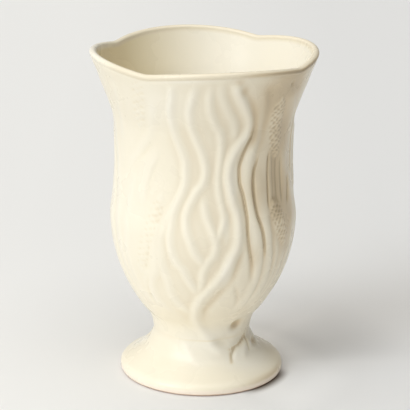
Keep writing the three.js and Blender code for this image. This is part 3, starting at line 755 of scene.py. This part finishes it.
def make_bowl():
    first = np.linspace(0, START_SHARE, START_ROWS)[:-1]
    shares = np.concatenate([first, np.linspace(START_SHARE, 1, BOWL_ROWS)])
    base = lip_base(OUTER)
    outer, details = outer_rings(BOWL_BOTTOM, base[None, :], shares)

    centre = radius_at(base) - pinch_at(OUTER, base) - LIP_INSET
    # Painted light on the lip's left dip
    paler = LIP_LIGHT_DEPTH * hump(apart(LIP_LIGHT_ANGLE, OUTER) / LIP_LIGHT_SPREAD)
    # Painted shade on the outside of the lip's right dip
    lip_shade = LIP_SHADE_DEPTH * hump(apart(LIP_SHADE_ANGLE, OUTER) / LIP_SHADE_SPREAD)
    lip = []
    for around in np.linspace(LIP_START, LIP_END, LIP_ROWS):
        reach = LIP_WIDTH / 2 * cos(radians(around))
        height = rim_top(OUTER) - LIP_DEPTH / 2 * (1 - sin(radians(around)))
        lip.append(place(OUTER, centre + reach, height))
        lip_shaded = lip_shade * hump((around - LIP_SHADE_MIDDLE) / LIP_SHADE_REACH)
        ring = np.zeros((OUTER_COLUMNS, len(DETAILS)))
        ring[:, 0] = LIP_DARKER_SHARE + lip_shaded - paler
        details.append(ring)

    floor_top = BOWL_BOTTOM + BOWL_FLOOR
    corner = inside_radius(floor_top + FLOOR_CORNER, BOWL_WALL) - FLOOR_CORNER
    inner = []
    for share in np.linspace(1, 0, INNER_ROWS):
        z = mix(floor_top + FLOOR_CORNER, lip_base(INNER), share)
        inner.append(place(INNER, bowl_inside(INNER, z), z))
    for around in np.linspace(CORNER_START, 90, CORNER_ROWS):
        radius = corner + FLOOR_CORNER * cos(radians(around))
        inner.append(place(INNER, radius, floor_top + FLOOR_CORNER * (1 - sin(radians(around)))))
    # Painted light over the whole inside, and painted warm shade towards the back left
    inner_shade = hump(apart(INNER_SHADE_ANGLE, INNER) / INNER_SHADE_SPREAD)
    for ring in dry(inner):
        ring[:, 0] = INNER_PAINTED_LIGHT_SHARE + INNER_SHADE_SHARE * inner_shade
        ring[:, -1] = inner_shade
        details.append(ring)

    under = [place(np.zeros(1), 0, BOWL_BOTTOM)]
    bottom = [place(np.zeros(1), 0, floor_top)]
    rings = under + outer + lip + inner + bottom
    details = dry(under) + details + dry(bottom)
    return sink_grains(skin("bowl_skin", rings, False, details))


def make_foot():
    contact_edge = FOOT_RADIUS - FOOT_UNDERCUT
    bevel = []
    for around in np.linspace(0, BEVEL_END, BEVEL_ROWS):
        radius = contact_edge + FOOT_UNDERCUT * sin(radians(around))
        bevel.append(place(OUTER, radius, FOOT_BEVEL * (1 - cos(radians(around)))))
    body = np.linspace(FOOT_BEVEL / FOOT_TOP, FOOT_LAST_SHARES[0], FOOT_ROWS)
    outer, details = outer_rings(0, FOOT_TOP, np.concatenate([body, FOOT_LAST_SHARES[1:]]))
    inner = []
    for share in np.linspace(1, HOLLOW_END_SHARE, HOLLOW_ROWS):
        z = FOOT_TOP * share
        inner.append(place(INNER, inside_radius(z, FOOT_WALL), z))
    inner.append(place(INNER, contact_edge - CONTACT_WIDTH, 0))
    rings = bevel + outer + inner
    return skin("foot_skin", rings, True, dry(bevel) + details + dry(inner))


def make_seam():
    bore = inside_radius(FOOT_TOP, FOOT_WALL)
    heights = np.linspace(FOOT_TOP, BOWL_BOTTOM, SEAM_ROWS)
    edge = [outside(OUTER, np.full(OUTER_COLUMNS, z)) for z in heights]
    inner = [place(INNER, bore, z) for z in (BOWL_BOTTOM, FOOT_TOP)]
    rings = edge + inner
    return skin("seam_skin", rings, True, dry(rings))


class Nodes:
    """A short way to build the node tree of a material or of the room."""

    def __init__(self, owner):
        self.owner = owner
        owner.use_nodes = True
        self.tree = owner.node_tree

    def add(self, kind, **settings):
        """A node, with its own settings and the values of its inputs by name."""
        node = self.tree.nodes.new(kind)
        for key, value in settings.items():
            if hasattr(node, key):
                setattr(node, key, value)
            else:
                node.inputs[key.replace("_", " ")].default_value = value
        return node

    def put(self, value, target):
        """Links an output to an input, or sets a constant on it."""
        if isinstance(value, bpy.types.NodeSocket):
            self.tree.links.new(value, target)
        else:
            target.default_value = value

    def math(self, operation, *values, clamp=False):
        node = self.add("ShaderNodeMath", operation=operation, use_clamp=clamp)
        for value, target in zip(values, node.inputs):
            self.put(value, target)
        return node.outputs["Value"]

    def vector(self, operation, *values):
        node = self.add("ShaderNodeVectorMath", operation=operation)
        for value, target in zip(values, node.inputs):
            self.put(value, target)
        return node

    def split(self, vector):
        """The x, y and z of a vector, as outputs by name."""
        node = self.add("ShaderNodeSeparateXYZ")
        self.put(vector, node.inputs["Vector"])
        return node.outputs

    def fade(self, value, start, end, low=0, high=1, kind="LINEAR"):
        """A value mapped from one stretch to another and kept within it."""
        node = self.add("ShaderNodeMapRange", interpolation_type=kind)
        self.put(value, node.inputs["Value"])
        for name, number in (("From Min", start), ("From Max", end), ("To Min", low), ("To Max", high)):
            node.inputs[name].default_value = number
        return node.outputs["Result"]

    def blend(self, factor, first, second, data="RGBA", kind="MIX"):
        node = self.add("ShaderNodeMix", data_type=data, blend_type=kind)
        self.put(factor, node.inputs["Factor"])
        self.put(first, node.inputs["A"])
        self.put(second, node.inputs["B"])
        return node.outputs["Result"]

    def detail(self, name):
        """What the points of a skin know under this name."""
        return self.add("ShaderNodeAttribute", attribute_name=name).outputs["Fac"]

    def mottle(self, where, scale, detail):
        node = self.add("ShaderNodeTexNoise", Scale=scale, Detail=detail)
        self.put(where, node.inputs["Vector"])
        return node.outputs["Fac"]


def surface_of(name, **settings):
    """A new material's nodes, and the inputs of the surface that they end in."""
    made = Nodes(bpy.data.materials.new(name))
    made.tree.nodes.clear()
    surface = made.add("ShaderNodeBsdfPrincipled", **settings)
    output = made.add("ShaderNodeOutputMaterial")
    made.put(surface.outputs["BSDF"], output.inputs["Surface"])
    return made, surface.inputs


# The glaze's colour by its depth, into which painted shade and painted light are also laid:
# thin, plain, pooled and at its darkest
GLAZE_COLOURS = [
    (-1, (0.88, 0.83, 0.71, 1)),
    (0, (0.845, 0.775, 0.62, 1)),
    (1, (0.69, 0.573, 0.395, 1)),
    (3, (0.36, 0.275, 0.165, 1)),
]

# The warmth of the painted warm shade inside the bowl, the blush of the glaze near the
# foot's edge, the bare clay below it, the heights where the last two begin and are full,
# and how far these heights wander
SHADE_WARMTH = (1, 0.955, 0.8, 1)
BLUSH = (0.85, 0.752, 0.63, 1)
CLAY = (0.6, 0.44, 0.34, 1)
BLUSH_FADE = (4.2 * MM, 2.2 * MM)
BARE_FADE = (0.9 * MM, 0.5 * MM)
EDGE_WOBBLE = 0.9 * MM
EDGE_WOBBLE_SCALE = 90

# How far clouds in the glaze change its depth, how much deeper and darker it is in the
# pits between the grains and in the middles of the cut lines, which is glaze pooled there
# and in part painted shade, and how much of a line's reach its middle takes
CLOUD_DEPTH = 0.12
CLOUD_SCALE = 38
PIT_DARKNESS = 1.1
LINE_DARKNESS = 1.15
LINE_CORE_SHARE = 0.75

# The gloss of the glaze from cloud to cloud and of the clay, and the fine unevenness
GLAZE_IOR = 1.45
GLAZE_SPECULAR = 0.4
GLAZE_ROUGHNESS = (0.22, 0.34)
CLAY_ROUGHNESS = 0.85
FINE_SCALE = 420
FINE_RISE = 0.6 * MM
FINE_STRENGTH = 0.06


def glaze():
    """Glossy ivory glaze that is darker where it pools and where shade is painted in, paler
    where light is painted in, and bare clay under the foot.
    """
    made, surface = surface_of("ivory_glaze", IOR=GLAZE_IOR, Specular_IOR_Level=GLAZE_SPECULAR)
    where = made.add("ShaderNodeTexCoord").outputs["Object"]

    cloud = made.mottle(where, CLOUD_SCALE, detail=3)
    drift = made.math("MULTIPLY_ADD", cloud, 2 * CLOUD_DEPTH, -CLOUD_DEPTH)
    # Cut lines and grain pits darkened: pooled glaze, and in part painted shade
    side = made.math("ABSOLUTE", made.detail("line_side"))
    core = made.fade(side, LINE_CORE_SHARE, 0, high=LINE_DARKNESS, kind="SMOOTHSTEP")
    dark = made.math("MULTIPLY", core, made.detail("line"))
    sunk = made.math("MULTIPLY_ADD", made.detail("pit"), PIT_DARKNESS, made.detail("pool_and_painted_light"))
    depth_and_painted_light = made.math("ADD", made.math("ADD", sunk, dark), drift)

    paler, deep = GLAZE_COLOURS[0][0], GLAZE_COLOURS[-1][0]
    ramp = made.add("ShaderNodeValToRGB")
    stops = ramp.color_ramp.elements
    stops[0].color, stops[1].color = GLAZE_COLOURS[0][1], GLAZE_COLOURS[-1][1]
    for level, colour in GLAZE_COLOURS[1:-1]:
        stops.new((level - paler) / (deep - paler)).color = colour
    made.put(made.fade(depth_and_painted_light, paler, deep), ramp.inputs["Fac"])
    # Painted warm shade inside the bowl
    shade_warmed = made.blend(made.detail("warm_shade"), ramp.outputs["Color"], SHADE_WARMTH, kind="MULTIPLY")

    wobble = made.mottle(where, EDGE_WOBBLE_SCALE, detail=2)
    height = made.math("MULTIPLY_ADD", wobble, -EDGE_WOBBLE, made.split(where)["Z"])
    bare = made.fade(height, *BARE_FADE)
    blushed = made.blend(made.fade(height, *BLUSH_FADE, kind="SMOOTHSTEP"), shade_warmed, BLUSH)
    made.put(made.blend(bare, blushed, CLAY), surface["Base Color"])

    gloss = made.fade(cloud, 0, 1, *GLAZE_ROUGHNESS)
    roughness = made.blend(bare, gloss, CLAY_ROUGHNESS, data="FLOAT")
    made.put(roughness, surface["Roughness"])
    bump = made.add("ShaderNodeBump", Strength=FINE_STRENGTH, Distance=FINE_RISE)
    made.put(made.mottle(where, FINE_SCALE, detail=2), bump.inputs["Height"])
    made.put(bump.outputs["Normal"], surface["Normal"])
    return made.owner


# The floor: half its size, how matt it is, its colours as they are seen to the left and
# the right of the vase, darker to the right as a painted fall of light, and how far from
# the middle these are full
FLOOR_HALF = 6
FLOOR_ROUGHNESS = 0.8
FLOOR_SPECULAR = 0.1
FLOOR_PAINTED_FALLOFF = ((0.79, 0.782, 0.767, 1), (0.715, 0.711, 0.706, 1))
FLOOR_FALL = 140 * MM

# Painted light and painted shadow on the floor round the vase, lighter where the share is
# positive and darker where it is negative: the share, the direction and its half width in
# degrees, then the distances from the vase's middle where the tone ends and is full
PAINTED_FLOOR_LIGHT_AND_SHADOW = [
    (0.25, 135, 50, 80 * MM, 56 * MM),
    (0.1, 65, 35, 100 * MM, 70 * MM),
    (-0.12, 118, 25, 150 * MM, 100 * MM),
    (0.13, 156, 40, 140 * MM, 80 * MM),
]

# The part of its half width over which a tone is full round the vase
TONE_CORE_SHARE = 1 / 3

# The shade where the foot meets the floor, placed the same way, and its colour
CONTACT_SHADE = (58, 30, 56.5 * MM, 48 * MM)
CONTACT_COLOUR = (0.14, 0.115, 0.09, 1)

# The floor as it lights the vase: near it and far from it, and where that changes
BOUNCE_COLOURS = ((0.97, 0.96, 0.94, 1), (0.75, 0.74, 0.73, 1))
BOUNCE_FADE = (100 * MM, 500 * MM)


def sector(made, flat, azimuth, spread, far, near):
    """A soft sector of the floor: 1 in its middle near the vase, 0 outside it."""
    away = made.vector("LENGTH", flat).outputs["Value"]
    facing = made.vector("NORMALIZE", flat).outputs["Vector"]
    middle = (sin(radians(azimuth)), -cos(radians(azimuth)), 0)
    across = made.vector("DOT_PRODUCT", facing, middle).outputs["Value"]
    reach = made.fade(away, far, near, kind="SMOOTHSTEP")
    edge, full = cos(radians(spread)), cos(radians(spread * TONE_CORE_SHARE))
    return made.math("MULTIPLY", reach, made.fade(across, edge, full, kind="SMOOTHSTEP"))


def floor_material():
    """A pale floor with a painted fall of light, painted light and shadow and a painted
    contact shadow where it is seen, and plain where it lights the vase.
    """
    made, surface = surface_of(
        "studio_floor", Roughness=FLOOR_ROUGHNESS, Specular_IOR_Level=FLOOR_SPECULAR)
    where = made.add("ShaderNodeTexCoord").outputs["Object"]
    axes = made.split(where)
    level = made.add("ShaderNodeCombineXYZ")
    made.put(axes["X"], level.inputs["X"])
    made.put(axes["Y"], level.inputs["Y"])
    flat = level.outputs["Vector"]

    # Painted fall of light, darker to the right, and painted light and shadow round the vase
    fall = made.fade(axes["X"], -FLOOR_FALL, FLOOR_FALL)
    tone = 1
    for share, *sector_place in PAINTED_FLOOR_LIGHT_AND_SHADOW:
        tone = made.math("MULTIPLY_ADD", sector(made, flat, *sector_place), share, tone)
    toned = made.vector("SCALE", made.blend(fall, *FLOOR_PAINTED_FALLOFF))
    made.put(tone, toned.inputs["Scale"])
    contact = sector(made, flat, *CONTACT_SHADE)
    shown = made.blend(contact, toned.outputs["Vector"], CONTACT_COLOUR)

    away = made.vector("LENGTH", where).outputs["Value"]
    bounce = made.blend(made.fade(away, *BOUNCE_FADE, kind="SMOOTHSTEP"), *BOUNCE_COLOURS)
    ray = made.add("ShaderNodeLightPath")
    seen = ray.outputs["Is Camera Ray"]
    for kind in ("Is Glossy Ray", "Is Transmission Ray"):
        seen = made.math("ADD", seen, ray.outputs[kind], clamp=True)
    made.put(made.blend(seen, bounce, shown), surface["Base Color"])
    return made.owner


def make_floor():
    mesh = bpy.data.meshes.new("floor")
    corners = [(x * FLOOR_HALF, y * FLOOR_HALF, 0) for x, y in ((-1, -1), (1, -1), (1, 1), (-1, 1))]
    mesh.from_pydata(corners, [], [(0, 1, 2, 3)])
    floor = bpy.data.objects.new("floor", mesh)
    bpy.context.scene.collection.objects.link(floor)
    floor.data.materials.append(floor_material())


# The room's light, brighter on the left: its colour, the x of the directions between
# which it falls off, and its strength on both sides
ROOM_COLOUR = (1, 0.975, 0.92, 1)
ROOM_FALL = (-0.8, 0.7)
ROOM_STRENGTH = (0.64, 0.08)

# The lamps: the name, the direction and the height in degrees, the spread, the strength
# and the colour
LAMPS = [
    ("key", -52, 38, 28, 0.98, (0.86, 0.93, 1)),
    ("front", -30, 13, 60, 0.84, (0.9, 0.95, 1)),
    ("top", -15, 80, 60, 1.56, (1, 0.985, 0.95)),
]


def make_room():
    world = bpy.data.worlds.new("studio")
    bpy.context.scene.world = world
    made = Nodes(world)
    backdrop = made.tree.nodes["Background"].inputs
    backdrop["Color"].default_value = ROOM_COLOUR
    direction = made.add("ShaderNodeTexCoord").outputs["Generated"]
    across = made.split(direction)["X"]
    made.put(made.fade(across, *ROOM_FALL, *ROOM_STRENGTH), backdrop["Strength"])


def make_lights():
    for name, azimuth, elevation, spread, strength, colour in LAMPS:
        light = bpy.data.lights.new(name, "SUN")
        light.angle = radians(spread)
        light.color = colour
        light.energy = strength
        lamp = bpy.data.objects.new(name, light)
        bpy.context.scene.collection.objects.link(lamp)
        turned, raised = radians(azimuth), radians(elevation)
        away = Vector((sin(turned) * cos(raised), -cos(turned) * cos(raised), sin(raised)))
        lamp.location = away
        lamp.rotation_mode = "QUATERNION"
        lamp.rotation_quaternion = away.to_track_quat("Z", "Y")


# The photograph's viewpoint: a long lens that looks a little down, with its lens and
# sensor in millimetres and its near and far limits in metres
CAMERA_PLACE = Vector((1.28, -1045.8, 432.1)) * MM
CAMERA_PITCH = 17.448
CAMERA_ROLL = 0.605
CAMERA_LENS = 160.44
CAMERA_SENSOR = 36
CAMERA_LIMITS = (0.1, 50)


def make_camera():
    pitch, roll = radians(CAMERA_PITCH), radians(CAMERA_ROLL)
    forward = Vector((0, cos(pitch), -sin(pitch)))
    level = Vector((1, 0, 0))
    upward = level.cross(forward)
    right = cos(roll) * level + sin(roll) * upward
    up = cos(roll) * upward - sin(roll) * level
    lens = bpy.data.cameras.new("camera")
    lens.sensor_width = CAMERA_SENSOR
    lens.lens = CAMERA_LENS
    lens.clip_start, lens.clip_end = CAMERA_LIMITS
    camera = bpy.data.objects.new("camera", lens)
    bpy.context.scene.collection.objects.link(camera)
    turned = Matrix((right, up, -forward)).transposed().to_4x4()
    turned.translation = CAMERA_PLACE
    camera.matrix_world = turned
    bpy.context.scene.camera = camera


make_camera()
make_room()
make_lights()
make_floor()

material = glaze()
bowl = make_bowl()
foot = make_foot()
seam = make_seam()
for piece, node, slot in (
    (bowl, "bowl", "ivory_glaze"),
    (foot, "pedestal_foot", "ivory_glaze"),
    (seam, "slip_seam", "bare_clay"),
):
    piece.data.materials.append(material)
    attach(piece, "root")
    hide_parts(node)

scene = bpy.context.scene
scene.view_settings.view_transform = "Standard"
